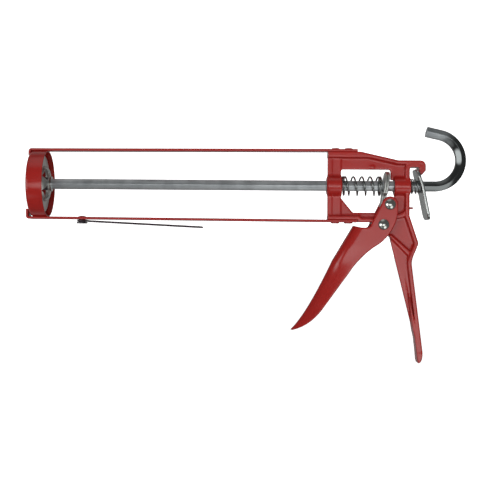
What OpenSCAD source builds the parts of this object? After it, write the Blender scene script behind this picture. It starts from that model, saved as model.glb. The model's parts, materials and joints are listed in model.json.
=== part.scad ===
// Skeleton caulking gun for 50 mm sealant cartridges.
// X runs rearwards along the push rod, Z is up, and Y is the width.
// The origin is the centre of the nozzle opening, on the inner face of the ring's front plate.

/* [Cradle] */
// Clear length between the front ring's plate and the handle casting
cradle_len = 235; // [200:1:300]
// Outside diameter of the front ring
ring_od = 53; // [44:0.5:66]
// Length of the front ring's rim
ring_depth = 13; // [9:0.5:18]
// Thickness of the ring's rim
ring_wall = 1; // [0.8:0.1:1.5]
// Thickness of the ring's front plate
ring_plate_t = 1.2; // [0.8:0.1:2]
// Radius of the ring's front edge
ring_edge_r = 1.5; // [0.5:0.1:2]
// Diameter of the opening for the cartridge's nozzle end
nozzle_d = 38; // [30:1:40]
// Depth of the weld flats pressed into the rim under the straps
weld_flat = 0.4; // [0.2:0.1:0.6]

/* [Straps] */
// Width of both straps
strap_w = 12; // [8:0.5:16]
// Thickness of both straps
strap_t = 2; // [1.5:0.1:3]
// How much farther from the rod a strap runs at the casting than at the ring
strap_flare = 1; // [0:0.25:3]
// Length of strap riveted to the casting
strap_lap = 23.5; // [20:0.5:28]
// Depth of the top strap's leg, bent down over the ring's front
top_leg = 3.5; // [3:0.1:7]
// Depth of the bottom strap's leg, bent up over the ring's front
bottom_leg = 6; // [4:0.1:9]
// Gap between the bottom strap's leg and the ring's front
bottom_leg_gap = 1.8; // [0:0.1:3]
// Outer radius of the straps' front bends
strap_bend_r = 2.5; // [2:0.1:3]

/* [Casting] */
// Width of the casting's ribs
casting_w = 12; // [10:0.5:13.5]
// Thickness of the casting's web
web_t = 3; // [2:0.25:5]
// Depth of the ribs around the casting's edge
rib_t = 3; // [2.5:0.1:4]
// Width of the front post, along the rod
post_w = 10.8; // [8:0.2:14]
// Thickness of the front post beside its bush
post_t = 4; // [3.5:0.5:9]
// Depth of the rib that the top strap lies on
strap_rib_t = 4.6; // [3.5:0.1:6]
// Depth of the upper arm, from the strap to the window
arm_h = 14; // [12:0.5:15]
// Wall of the front bush around the rod's bore
bush_wall = 3.4; // [2.5:0.1:4]
// Wall of the rear bush around the rod's bore
rear_bush_wall = 2.7; // [2:0.1:3.5]
// Running clearance of the rod's corners in the round bushes
guide_gap = 0.18; // [0.1:0.02:0.4]

/* [Push rod] */
// Size of the hexagonal rod across its flats
rod_af = 8; // [6.5:0.1:10]
// Distance from the nozzle plate to the rod's front shoulder, rod fully forward
shoulder_x = 14.6; // [12:0.1:18]
// Length of straight rod behind the rear post
rod_tail = 20.6; // [18:0.1:40]
// Radius of the hanging hook's centre line
hook_r = 20.8; // [16:0.1:30]
// Angle that the hanging hook turns through
hook_turn = 167; // [120:1:190]
// Length of the straight end after the hook
hook_end = 11.7; // [5:0.1:20]
// Diameter of the threaded spigot that carries the plunger
spigot_d = 6; // [5:0.5:6.5]

/* [Plunger] */
// Gap between the plunger's rim and the inside of the ring
plunger_gap = 2.5; // [1:0.1:4]
// Thickness of the plunger's sheet
plunger_t = 1; // [0.8:0.1:1.5]
// Length of the lip around the plunger
plunger_lip = 3.6; // [2:0.1:5]
// Diameter of the plunger's dome at its foot
dome_d = 28; // [24:0.5:32]
// Diameter of the flat at the top of the dome
dome_top_d = 13; // [12.5:0.5:16]
// Height of the dome
dome_h = 4.8; // [3:0.1:6]
// Number of cut-outs around the dome
dome_slots = 4; // [3:1:5]
// Width of each opening in the dome
dome_slot_w = 10.5; // [6:0.5:11]
// Size of the plunger's nut across its flats
nut_af = 10; // [9:0.5:12]
// Thickness of the plunger's nut
nut_t = 5; // [4:0.5:6]
// Outside diameter of the plunger's washer
washer_d = 12; // [10:0.5:12.5]
// Thickness of the plunger's washer
washer_t = 1.2; // [0.8:0.1:2]

/* [Drive] */
// Thickness of one drive plate
plate_t = 1.75; // [1.2:0.05:2.2]
// Width of the drive plates at the rod
plate_w = 20; // [16:0.5:24]
// Lean of the drive plates, top rearwards, in degrees
plate_tilt = 8; // [4:0.5:12]
// Height of plate above the rod
plate_rise = 7.5; // [4:0.5:8]
// Width of the plates' tongue between the trigger's cheeks
tongue_w = 10; // [6:0.5:12]
// Clearance around the rod in the drive plates
plate_gap = 0.2; // [0.1:0.05:0.5]
// Wire diameter of the drive spring
drive_wire = 1.4; // [1:0.1:1.8]
// Active turns of the drive spring
drive_turns = 4; // [3:0.5:7]
// Clearance between the rod's corners and the drive spring
drive_spring_gap = 2; // [0.8:0.1:2.2]

/* [Trigger] */
// Width of the trigger over its cheeks
trigger_w = 17; // [16:0.5:22]
// Thickness of the trigger's sheet
sheet_t = 1.5; // [1:0.1:2]
// Distance from the casting's front to the trigger's pivot
pivot_back = 44.1; // [42:0.1:50]
// Distance of the pivot below the bottom strap's inner face
pivot_drop = 3.7; // [3:0.1:6]
// Distance of the push pin behind the pivot
push_back = 5.1; // [3:0.1:7]
// Distance of the push pin above the pivot
push_up = 16; // [14:0.1:20]
// Radius of the trigger's top around the push pin
trigger_top_r = 6.4; // [5:0.1:7]

/* [Pins] */
// Diameter of the pivot pin and of the push pin
pin_d = 6; // [5:0.25:7]
// Diameter of the pins' domed heads
head_d = 8.8; // [8:0.1:11]
// Height of the pins' domed heads
head_h = 2.4; // [1.5:0.1:3]
// Running clearance of the pivot pin in the trigger's cheeks
pivot_gap = 0.05; // [0.02:0.01:0.1]
// Clearance between pieces that pass or touch each other
touch_gap = 0.3; // [0.2:0.05:0.5]
// Diameter of the strap rivets' heads
rivet_head_d = 6.6; // [5:0.1:8]
// Height of the strap rivets' heads
rivet_head_h = 1; // [0.6:0.1:1.2]
// Diameter of the strap rivets' shanks
rivet_d = 4; // [3:0.1:4.5]

/* [Release lever] */
// Thickness of the release lever
lever_t = 2.3; // [1.8:0.1:3.2]
// Width of the release lever at the rod
lever_w = 22; // [18:0.5:26]
// Distance from the rear post to the lever, along the rod
lever_back = 9.6; // [8.5:0.1:14]
// Lean of the lever above the rod, in degrees
lever_lean_top = 19; // [14:1:22]
// Lean of the lever below the rod, in degrees
lever_lean_low = 11.5; // [8:0.5:15]
// Height of the lever below the rod
lever_drop = 26.8; // [20:0.1:34]
// Clearance around the rod in the release lever
lever_gap = 0.45; // [0.4:0.05:0.8]
// Wire diameter of the brake spring
brake_wire = 1.2; // [0.8:0.1:1.4]
// Active turns of the brake spring
brake_turns = 1; // [0.5:0.5:2]
// Clearance between the rod's corners and the brake spring
brake_spring_gap = 0.3; // [0.2:0.1:1]

/* [Seal punch] */
// Diameter of the seal punch's wire
punch_wire = 1.6; // [1.2:0.1:2.5]
// Distance from the nozzle plate to the punch's rivet
punch_x = 39; // [25:1:60]
// Length of the punch from its rivet to its point
punch_len = 97; // [60:1:120]
// Droop of the punch below the strap, in degrees
punch_droop = 2.7; // [0:0.1:5]
// Shank diameter of the punch's rivet
punch_rivet_d = 5.4; // [3:0.1:6]

/* [Hidden] */
$fn = 48;
far = 400;

// Closed turns at each end of a spring
end_turns = 1.25;

// Overlap that welds two lengths of one bar together
seam = 0.3;

// Colours of the finishes
red_cast = "#a8262b";
red_sheet = "#a01e22";
zinc = "#b9bcbc";
nickel = "#d5d8d6";
dark_steel = "#4a4d4e";

// Rod section and bores
rod_corner_r = rod_af / sqrt(3);
guide_r = rod_corner_r + guide_gap;
front_bush_r = guide_r + bush_wall;
rear_bush_r = guide_r + rear_bush_wall;

// Strap heights: inner faces at the ring and at the casting
strap_ring_z = ring_od / 2 - weld_flat;
seat_z = strap_ring_z + strap_flare;
strap_end_x = cradle_len + strap_lap;
ring_rear_x = ring_depth - ring_plate_t;

// Casting stations along the rod
cast_x = cradle_len;
post_x = cast_x + post_w;
pin_r = pin_d / 2;
pivot_x = cast_x + pivot_back;
pivot_z = -(seat_z + pivot_drop);
push_x = pivot_x + push_back;
push_z = pivot_z + push_up;
rear_post_x = pivot_x + 20.9;
bush_step = 0.9;
front_bush_rear_x = post_x + 0.4;
rear_bush_x = rear_post_x - 12;
rear_bush_end_x = rear_post_x + bush_step;
hook_arm_t = 5.4;
hook_top_z = seat_z - 6.7;
hook_in_z = hook_top_z - hook_arm_t;
hook_corner_r = 4;
window_top_z = seat_z - arm_h;
window_low_z = pivot_z + 9.5;
window_step_x = rear_post_x - 11.6;
beam_x = strap_end_x + 0.6;
beam_low_z = pivot_z + 1.9;
boss_r = 7;

// The lever's place, and the hook's inner wall that its top end turns against
bend_x = rear_post_x + rod_tail;
lever_x = rear_post_x + lever_back;
lever_top = hook_in_z - 1.6;
fulcrum_z = hook_in_z - 4.2;
fulcrum_gap = 0.4;
lever_rear_x = lever_x - fulcrum_z * tan(lever_lean_top) + lever_t / 2 / cos(lever_lean_top);
hook_wall_x = lever_rear_x + fulcrum_gap;
hook_out_x = hook_wall_x + 5.2;

// Drive plates: rear face where it crosses the rod's axis, resting by the push pin
plate_x = push_x - (pin_r + touch_gap + push_z * sin(plate_tilt)) / cos(plate_tilt);
plate_top = rod_af / 2 + plate_rise;
plate_shoulder = -(rod_af / 2 + 2.6);
plate_low = push_z - pin_r + 0.6;
window_rear_x = plate_x + plate_top * tan(plate_tilt) + 2.5 * touch_gap;

// Drive spring, from the front bush to the drive plates
drive_coil_r = rod_corner_r + drive_spring_gap + drive_wire / 2;
drive_spring_x = front_bush_rear_x + drive_wire / 2 + 0.1;
plate_front_x = plate_x - 2 * plate_t / cos(plate_tilt);
drive_spring_end = plate_front_x - (drive_coil_r + drive_wire / 2) * tan(plate_tilt) - drive_wire / 2 - 0.1;

// Brake spring
brake_coil_r = rod_corner_r + brake_spring_gap + brake_wire / 2;
brake_spring_x = rear_bush_end_x + brake_wire / 2 + 0.1;
lever_front_x = lever_x - lever_t / 2 / cos(lever_lean_top);
brake_reach = (brake_coil_r + brake_wire / 2) * tan(lever_lean_top);
brake_spring_end = lever_front_x - brake_reach - brake_wire / 2 - 0.1;

// Plunger stations, counted forwards from the rod's shoulder
hub_x = shoulder_x - washer_t;
rim_x = hub_x - dome_h;
plunger_r = ring_od / 2 - ring_wall - plunger_gap;
nut_x = hub_x - plunger_t - nut_t;
spigot_x = nut_x - 1;

// Seal punch: below the bottom strap where its rivet stands
punch_slope = strap_flare / (cradle_len - ring_rear_x);
punch_seat_z = -(strap_ring_z + (punch_x - ring_rear_x) * punch_slope + strap_t);
punch_eye_r = punch_rivet_d / 2 + 0.35 + punch_wire / 2;
punch_z = punch_seat_z - 0.3 - punch_wire / 2;

trigger_in = trigger_w / 2 - sheet_t;

// ---------- shared shapes ----------

// A flat outline drawn in X and Z, given a width across Y
module across(w) {
    rotate([90, 0, 0]) translate([0, 0, -w / 2]) linear_extrude(w) children();
}

// A flat outline drawn in Y and Z, given a length along X from x0
module along(x0, len) {
    translate([x0, 0, 0]) rotate([90, 0, 90]) linear_extrude(len) children();
}

// A cylinder along X
module rod_x(r, x0, x1, z = 0) {
    translate([x0, 0, z]) rotate([0, 90, 0]) cylinder(r = r, h = x1 - x0);
}

// A cylinder along Y, centred on the middle plane
module rod_y(r, w, x, z) {
    translate([x, 0, z]) rotate([90, 0, 0]) cylinder(r = r, h = w, center = true);
}

// Rounds the outer corners of a flat outline
module soften(r) {
    offset(r = r, $fn = 32) offset(delta = -r) children();
}

// Hexagon with flats above and below, size across flats
module hexagon(af) {
    circle(r = af / sqrt(3), $fn = 6);
}

// Horizontal hexagonal passage for the rod
module rod_passage(gap, x0, x1) {
    along(x0, x1 - x0) hexagon(rod_af + 2 * gap);
}

// Points of a cubic curve between p and s, steered by q and r
function curve(p, q, r, s, n = 8) = [for (i = [0:n]) let (t = i / n, u = 1 - t)
    u * u * u * p + 3 * u * u * t * q + 3 * u * t * t * r + t * t * t * s];

// Points of an arc round c
function arc(c, r, a0, a1, n = 10) = [for (i = [0:n]) let (a = a0 + (a1 - a0) * i / n)
    c + r * [cos(a), sin(a)]];

// A low dome standing on z = 0
module dome(d, h) {
    ball = (d * d / 4 + h * h) / (2 * h);
    rise = asin(d / 2 / ball);
    edge = [for (i = [0:8]) let (a = rise * (1 - i / 8)) [ball * sin(a), ball * cos(a) - ball + h]];
    rotate_extrude() polygon(concat([[0, 0]], edge));
}

// Position along a spring: closed turns at each end, evenly pitched between
function coil_x(turn, turns, x0, x1, wire) =
    let (closed = end_turns * wire * 1.03, last = turns + end_turns)
    turn < end_turns ? x0 + turn * wire * 1.03
    : turn > last ? x1 - (last + end_turns - turn) * wire * 1.03
    : x0 + closed + (x1 - x0 - 2 * closed) * (turn - end_turns) / turns;

// Compression spring along X, swept as one closed tube
module coil_spring(coil_r, wire, turns, x0, x1, sides = 7, steps = 18) {
    rings = round((turns + 2 * end_turns) * steps);
    centre = [for (i = [0:rings]) let (a = i * 360 / steps)
        [coil_x(i / steps, turns, x0, x1, wire), coil_r * cos(a), coil_r * sin(a)]];
    skin = [for (i = [0:rings]) let (a = i * 360 / steps) for (k = [0:sides - 1])
        let (b = k * 360 / sides, out = wire / 2 * cos(b))
        centre[i] + [wire / 2 * sin(b), out * cos(a), out * sin(a)]];
    walls = [for (i = [0:rings - 1]) for (k = [0:sides - 1]) let (m = (k + 1) % sides)
        [i * sides + k, i * sides + m, (i + 1) * sides + m, (i + 1) * sides + k]];
    first = [for (k = [sides - 1:-1:0]) k];
    last = [for (k = [0:sides - 1]) rings * sides + k];
    polyhedron(skin, concat(walls, [first, last]), convexity = 10);
}

// ---------- cradle ----------

module front_ring() {
    outer = ring_od / 2;
    front = -ring_plate_t;
    profile = concat(
        [[nozzle_d / 2, 0], [nozzle_d / 2, front]],
        arc([outer - ring_edge_r, front + ring_edge_r], ring_edge_r, -90, 0, 6),
        [[outer, ring_rear_x], [outer - ring_wall, ring_rear_x], [outer - ring_wall, 0]]
    );
    color(red_sheet) difference() {
        rotate([0, 90, 0]) rotate_extrude($fn = 96) polygon(profile);
        for (side = [-1, 1])
            translate([front - 1, -outer, side > 0 ? strap_ring_z : -strap_ring_z - outer])
                cube([ring_depth + 2, ring_od, outer]);
    }
}

// Side view of a strap on the +Z side, with its leg's inner face at leg_x
module strap_outline(leg_x, leg) {
    inner = [
        [leg_x, strap_ring_z - leg], [leg_x, strap_ring_z], [ring_rear_x, strap_ring_z],
        [cast_x, seat_z], [strap_end_x, seat_z]
    ];
    outer = concat(
        [[strap_end_x, seat_z + strap_t], [cast_x, seat_z + strap_t], [ring_rear_x, strap_ring_z + strap_t]],
        arc([leg_x - strap_t + strap_bend_r, strap_ring_z + strap_t - strap_bend_r], strap_bend_r, 90, 180, 6),
        [[leg_x - strap_t, strap_ring_z - leg]]
    );
    polygon(concat(inner, outer));
}

// Stations of the two rivets that hold a strap to the casting
strap_rivet_x = [cast_x + 6.3, cast_x + 16.8];

module strap(leg_x, leg) {
    difference() {
        across(strap_w) strap_outline(leg_x, leg);
        for (x = strap_rivet_x) translate([x, 0, seat_z - 1]) cylinder(d = rivet_d, h = strap_t + 2);
    }
}

module top_strap() {
    color(red_sheet) strap(-ring_plate_t, top_leg);
}

module bottom_strap() {
    color(red_sheet) difference() {
        mirror([0, 0, 1]) strap(-ring_plate_t - bottom_leg_gap, bottom_leg);
        translate([punch_x, 0, punch_seat_z - 1]) cylinder(d = punch_rivet_d, h = 2 * strap_t + 2);
    }
}

// Rivets through a strap into the casting's rib, heads outside
module strap_rivets() {
    for (x = strap_rivet_x) translate([x, 0, seat_z]) {
        translate([0, 0, -rib_t + 0.8]) cylinder(d = rivet_d, h = rib_t - 0.8 + strap_t);
        translate([0, 0, strap_t]) dome(rivet_head_d, rivet_head_h);
    }
}

module top_strap_rivets() {
    color(red_sheet) strap_rivets();
}

module bottom_strap_rivets() {
    color(red_sheet) mirror([0, 0, 1]) strap_rivets();
}

// ---------- handle casting ----------

// Outline of the casting above the rear post's foot: arms, front post and lever hook
function upper_edge() = concat(
    [[cast_x, -seat_z], [cast_x, seat_z], [cast_x + 26, seat_z], [rear_post_x - 9, hook_top_z]],
    arc([hook_out_x - hook_corner_r, hook_top_z - hook_corner_r], hook_corner_r, 90, 0, 6),
    [[hook_out_x, hook_in_z - 2.6], [hook_wall_x + 2, hook_in_z - 6.4], [hook_wall_x, fulcrum_z]],
    arc([hook_wall_x - 1.2, hook_in_z - 1.2], 1.2, 0, 90, 4),
    arc([rear_post_x + 1.6, hook_in_z - 1.6], 1.6, 90, 180, 4)
);

// Outline of the grip, from the rear post's foot to the pivot boss, in the pivot's frame
function grip_edge() = concat(
    [[20.9, 7.1], [28.1, -14.2], [27.8, -16.2]],
    curve([24, -25.5], [22.8, -28.5], [22.8, -30.5], [23.2, -33.5], 4),
    curve([32, -101], [32.3, -106], [31.3, -110.2], [28.6, -110.2], 5),
    [[27.8, -107.6], [27.2, -101], [25.9, -90]],
    [[5.6, -9.7]],
    arc([0, 0], boss_r + 1.4, -70, -160, 6)
);

module casting_outline() {
    polygon(concat(
        upper_edge(),
        [for (p = grip_edge()) p + [pivot_x, pivot_z]],
        [[pivot_x - 9, beam_low_z], [beam_x, beam_low_z], [beam_x, -seat_z]]
    ));
}

// Opening round the drive spring and the drive plates
module casting_window() {
    soften(1.2) polygon([
        [post_x, window_top_z], [window_rear_x, window_top_z], [window_rear_x, rear_bush_r - 2.8],
        [window_step_x, rear_bush_r - 2.8], [window_step_x, window_low_z],
        [post_x + 9.5, window_low_z], [post_x, window_low_z + 11.5]
    ]);
}

// Full-width rib inside the outline's edge, deeper under the top strap, and left out along the
// flat front post and the grip's thin front edge
module casting_rim() {
    translate([cast_x, seat_z - strap_rib_t]) square([strap_lap + 10, strap_rib_t]);
    difference() {
        casting_outline();
        offset(delta = -rib_t) casting_outline();
        translate([cast_x - 1, rib_t - seat_z]) square([rib_t + 1.5, 2 * seat_z - rib_t - strap_rib_t]);
        polygon([
            [pivot_x - 6, pivot_z - 2], [pivot_x + 13, pivot_z + 1], [pivot_x + 18.4, pivot_z - 40],
            [pivot_x + 26, pivot_z - 96], [pivot_x, pivot_z - 96]
        ]);
    }
}

// Slim stiffening ribs inside the grip
module casting_inner_ribs() {
    translate([pivot_x, pivot_z]) {
        polygon([[4.4, -8.4], [7, -8.4], [24.4, -23.6], [24.4, -26.3], [22, -26.3]]);
        polygon(concat(
            curve([2, 9.2], [10, 7.6], [14, 7.6], [18.4, 12], 6),
            curve([20, 8.5], [15, 4.6], [10, 4.6], [2, 6.4], 6)
        ));
    }
}

module handle_casting() {
    color(red_cast) difference() {
        union() {
            difference() {
                union() {
                    across(web_t) casting_outline();
                    across(casting_w) intersection() {
                        casting_outline();
                        union() {
                            casting_rim();
                            translate([pivot_x, pivot_z - 140]) square([60, 38]);
                            translate([rear_post_x - rib_t, hook_in_z - 20]) square([30, 40]);
                        }
                    }
                    across(post_t) translate([cast_x, -seat_z]) square([post_w, 2 * seat_z]);
                    across(casting_w - 3) intersection() {
                        casting_outline();
                        casting_inner_ribs();
                    }
                }
                across(casting_w + 2) casting_window();
            }
            rod_x(front_bush_r, cast_x, front_bush_rear_x);
            rod_x(front_bush_r - 1.2, cast_x - 0.8, cast_x + 1);
            rod_x(rear_bush_r, rear_bush_x, rear_bush_end_x);
            rod_y(boss_r, 2 * trigger_in - 2 * touch_gap, pivot_x, pivot_z);
            rod_x(0.9, rear_post_x - 1, rear_post_x + 3.7, pivot_z + 13.4);
        }
        rod_x(guide_r, cast_x - 2, rear_bush_end_x + 1);
        rod_y(pin_r, trigger_w, pivot_x, pivot_z);
        for (side = [0, 1]) mirror([0, 0, side]) for (x = strap_rivet_x)
            translate([x, 0, seat_z - rib_t + 0.8]) cylinder(d = rivet_d, h = rib_t);
    }
}

// ---------- push rod and plunger ----------

module push_rod() {
    color(zinc) {
        along(shoulder_x, bend_x - shoulder_x) hexagon(rod_af);
        rod_x(spigot_d / 2, spigot_x, shoulder_x + 1);
    }
}

// The rod's rear end, bent round to hang the gun from a rung
module rod_hook() {
    color(zinc) translate([bend_x, 0, hook_r]) rotate([90, 0, 0]) {
        rotate([0, 0, -90]) rotate_extrude(angle = hook_turn, $fn = 96)
            translate([hook_r, 0]) rotate(30) hexagon(rod_af);
        rotate([0, 0, hook_turn - 90]) translate([hook_r, -seam, 0]) rotate([-90, 0, 0])
            linear_extrude(hook_end + seam) rotate(30) hexagon(rod_af - seam / 10);
    }
}

// Half section of the plunger's pressed sheet, radius against distance forwards of the hub
module plunger_section() {
    foot = dome_d / 2;
    top = dome_top_d / 2;
    swell = (foot - top) * 0.6;
    inner = plunger_r - plunger_t;
    polygon(concat(
        [[spigot_d / 2, 0]],
        curve([top, 0], [top + swell, 0], [foot, dome_h * 0.5], [foot, dome_h], 6),
        [[plunger_r - 1, dome_h], [plunger_r, dome_h + 1], [plunger_r, dome_h + plunger_lip]],
        [[inner, dome_h + plunger_lip], [inner, dome_h + plunger_t + 0.6], [inner - 0.6, dome_h + plunger_t]],
        curve([foot - plunger_t, dome_h + plunger_t], [foot - plunger_t, dome_h * 0.5 + plunger_t],
            [top + swell - plunger_t, plunger_t], [top - plunger_t, plunger_t], 6),
        [[spigot_d / 2, plunger_t]]
    ));
}

module plunger_disc() {
    slot_r0 = dome_top_d / 2 + 0.6;
    slot_r1 = dome_d / 2 - 1;
    color(zinc) difference() {
        translate([hub_x, 0, 0]) rotate([0, -90, 0]) rotate_extrude($fn = 96) plunger_section();
        for (i = [0:dome_slots - 1]) rotate([(i + 0.5) * 360 / dome_slots, 0, 0])
            translate([rim_x - plunger_t - 1, -dome_slot_w / 2, slot_r0])
                cube([dome_h + plunger_t + 2, dome_slot_w, slot_r1 - slot_r0]);
    }
}

module plunger_washer() {
    color(nickel) difference() {
        rod_x(washer_d / 2, hub_x, shoulder_x);
        rod_x(spigot_d / 2, hub_x - 1, shoulder_x + 1);
    }
}

module plunger_nut() {
    color(dark_steel) difference() {
        intersection() {
            along(nut_x, nut_t) hexagon(nut_af);
            translate([nut_x, 0, 0]) rotate([0, 90, 0]) rotate_extrude() polygon([
                [0, 0], [nut_af / 2, 0], [nut_af / 2 + 0.9, 0.6],
                [nut_af / 2 + 0.9, nut_t], [0, nut_t]
            ]);
        }
        rod_x(spigot_d / 2, nut_x - 1, nut_x + nut_t + 1);
    }
}

// ---------- drive ----------

module drive_spring() {
    color(dark_steel)
        coil_spring(drive_coil_r, drive_wire, drive_turns, drive_spring_x, drive_spring_end);
}

// Face of a drive plate: round top, straight sides and a tongue
module plate_face() {
    half = plate_w / 2;
    soften(1) polygon(concat(
        arc([0, plate_top - half], half, 0, 180, 16),
        [[-half, plate_shoulder], [-tongue_w / 2, plate_shoulder - 1.5], [-tongue_w / 2, plate_low]],
        [[tongue_w / 2, plate_low], [tongue_w / 2, plate_shoulder - 1.5], [half, plate_shoulder]]
    ));
}

// One plate of the stack, counted from the rear
module drive_plate(place) {
    difference() {
        translate([plate_x, 0, 0]) rotate([0, plate_tilt, 0])
            along(-(place + 1) * plate_t, plate_t) plate_face();
        rod_passage(plate_gap, plate_x - 12, plate_x + 8);
    }
}

module drive_plate_front() {
    color(zinc) drive_plate(1);
}

module drive_plate_rear() {
    color(zinc) drive_plate(0);
}

// ---------- trigger ----------

// Front edge of the trigger from its tip up to the corner under the strap, in the pivot's frame
function trigger_front() = concat(
    curve([-73.4, -84.4], [-61.3, -73], [-47.6, -44.5], [-40, -28.5], 10),
    [[-23.6, -1]]
);

// The rest of the side view: over the arm, round the push pin and down the back
function trigger_back() = concat(
    [[-17.6, -2.5], [-12.8, -2.5]],
    curve([-12.8, -2.5], [-10.6, -2.5], [-10, -0.6], [-9.2, 1.6], 3),
    arc([push_back, push_up], trigger_top_r, 155, 0, 10),
    curve([push_back + trigger_top_r, push_up - 3], [11.6, 1], [4.5, -10], [-3.6, -15.7], 8),
    curve([-3.6, -15.7], [-11.5, -20], [-22.5, -30.5], [-27.3, -38.9], 6),
    curve([-46, -65], [-52, -74], [-60, -81.5], [-71.5, -84.6], 8)
);

module trigger_outline() {
    translate([pivot_x, pivot_z]) polygon(concat(trigger_front(), trigger_back()));
}

// Everything behind the front edge, moved back by depth, and open above the corner
module behind_spine(depth) {
    translate([pivot_x, pivot_z]) offset(delta = -depth) polygon(concat(
        [[-78, -92]], trigger_front(), [[-23.6, 60], [far, 60], [far, -far], [-78, -far]]
    ));
}

module trigger() {
    half = trigger_w / 2;
    color(red_sheet) difference() {
        union() {
            across(trigger_w - 7) trigger_outline();
            across(trigger_w - 3) intersection() {
                trigger_outline();
                behind_spine(1);
            }
            across(trigger_w) intersection() {
                trigger_outline();
                behind_spine(3);
            }
        }
        across(2 * trigger_in - 4) behind_spine(sheet_t);
        across(2 * trigger_in) behind_spine(sheet_t + 2.4);
        rod_y(pin_r + pivot_gap, trigger_w + 2, pivot_x, pivot_z);
        rod_y(pin_r, trigger_w + 2, push_x, push_z);
    }
}

// Pin with a domed head on each cheek
module headed_pin(x, z, end_gap) {
    reach = trigger_w / 2 + end_gap;
    rod_y(pin_r, 2 * reach, x, z);
    for (side = [0, 1]) mirror([0, side, 0])
        translate([x, -reach, z]) rotate([90, 0, 0]) dome(head_d, head_h);
}

module trigger_pivot_pin() {
    color(nickel) headed_pin(pivot_x, pivot_z, 0.1);
}

module trigger_push_pin() {
    color(nickel) headed_pin(push_x, push_z, 0);
}

// ---------- release lever ----------

// Side view of the bent lever, its middle line crossing the rod at lever_x
module lever_side() {
    half_top = lever_t / 2 / cos(lever_lean_top);
    half_low = lever_t / 2 / cos(lever_lean_low);
    half_mid = (half_top + half_low) / 2;
    x_top = lever_x - (lever_top + 4) * tan(lever_lean_top);
    x_low = lever_x + (lever_drop + 4) * tan(lever_lean_low);
    polygon([
        [x_top - half_top, lever_top + 4], [x_top + half_top, lever_top + 4],
        [lever_x + half_mid, 0], [x_low + half_low, -lever_drop - 4],
        [x_low - half_low, -lever_drop - 4], [lever_x - half_mid, 0]
    ]);
}

// Front view of the lever: slightly narrower top, rounded corners
module lever_face() {
    half = lever_w / 2;
    soften(3.5) polygon([
        [-half + 2, lever_top], [half - 2, lever_top], [half, lever_top - 6],
        [half, -lever_drop], [-half, -lever_drop], [-half, lever_top - 6]
    ]);
}

module release_lever() {
    color(zinc) difference() {
        intersection() {
            across(lever_w + 2) lever_side();
            along(lever_x - 20, 50) lever_face();
        }
        rod_passage(lever_gap, lever_x - 20, lever_x + 20);
    }
}

module brake_spring() {
    color(dark_steel)
        coil_spring(brake_coil_r, brake_wire, brake_turns, brake_spring_x, brake_spring_end);
}

// ---------- seal punch ----------

module seal_punch() {
    color(dark_steel) translate([punch_x, 0, punch_z]) {
        rotate_extrude() translate([punch_eye_r, 0]) circle(d = punch_wire, $fn = 24);
        rotate([0, 90 + punch_droop, 0]) translate([0, 0, punch_eye_r])
            cylinder(d = punch_wire, h = punch_len - punch_eye_r - 4);
        rotate([0, 90 + punch_droop, 0]) translate([0, 0, punch_len - 4])
            cylinder(d1 = punch_wire, d2 = 0.5, h = 4);
    }
}

module punch_rivet() {
    foot_z = punch_z - punch_wire / 2 - 0.2;
    color(dark_steel) translate([punch_x, 0, 0]) {
        translate([0, 0, foot_z]) cylinder(d = punch_rivet_d, h = punch_seat_z + strap_t + 0.02 - foot_z);
        translate([0, 0, foot_z - 1.2]) cylinder(d = 2 * punch_eye_r + 1, h = 1.2);
        translate([0, 0, punch_seat_z + strap_t + 0.02]) dome(6.5, 1);
    }
}

front_ring();
top_strap();
bottom_strap();
handle_casting();
top_strap_rivets();
bottom_strap_rivets();
push_rod();
rod_hook();
plunger_disc();
plunger_washer();
plunger_nut();
drive_spring();
drive_plate_front();
drive_plate_rear();
trigger();
trigger_pivot_pin();
trigger_push_pin();
release_lever();
brake_spring();
seal_punch();
punch_rivet();
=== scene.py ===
"""Skeleton caulking gun: the finished surfaces that go over its measured solids.

X runs rearwards along the push rod, Z is up and Y is the width. Shapes are worked out in millimetres,
and their meshes are in metres.
"""

import json
from math import asin, cos, pi, radians, sin, sqrt, tan

import bmesh
import bpy
import numpy as np
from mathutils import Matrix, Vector


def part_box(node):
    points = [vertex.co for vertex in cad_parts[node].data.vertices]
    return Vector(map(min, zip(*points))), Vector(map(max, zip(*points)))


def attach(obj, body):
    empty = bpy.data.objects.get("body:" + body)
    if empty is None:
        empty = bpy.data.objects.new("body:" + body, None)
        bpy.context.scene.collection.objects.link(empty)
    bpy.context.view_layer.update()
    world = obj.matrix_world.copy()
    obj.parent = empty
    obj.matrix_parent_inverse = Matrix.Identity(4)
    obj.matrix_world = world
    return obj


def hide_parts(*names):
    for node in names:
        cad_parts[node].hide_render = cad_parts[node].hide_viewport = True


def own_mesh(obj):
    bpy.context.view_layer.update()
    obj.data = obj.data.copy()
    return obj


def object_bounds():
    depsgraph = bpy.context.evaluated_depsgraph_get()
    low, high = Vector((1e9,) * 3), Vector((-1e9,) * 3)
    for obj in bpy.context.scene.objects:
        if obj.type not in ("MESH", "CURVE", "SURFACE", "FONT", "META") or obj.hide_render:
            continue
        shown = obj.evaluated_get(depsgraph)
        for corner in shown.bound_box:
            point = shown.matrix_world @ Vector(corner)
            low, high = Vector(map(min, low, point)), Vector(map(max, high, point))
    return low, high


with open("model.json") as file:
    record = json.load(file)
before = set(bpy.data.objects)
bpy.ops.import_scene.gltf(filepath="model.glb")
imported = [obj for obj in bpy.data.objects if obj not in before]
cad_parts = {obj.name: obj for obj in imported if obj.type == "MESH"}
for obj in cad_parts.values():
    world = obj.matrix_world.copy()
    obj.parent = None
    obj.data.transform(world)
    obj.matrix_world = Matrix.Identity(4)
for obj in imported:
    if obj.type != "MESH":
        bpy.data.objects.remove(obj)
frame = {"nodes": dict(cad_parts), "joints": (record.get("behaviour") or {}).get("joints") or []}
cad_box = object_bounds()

MM = 0.001

# ---------- camera ----------

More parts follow.
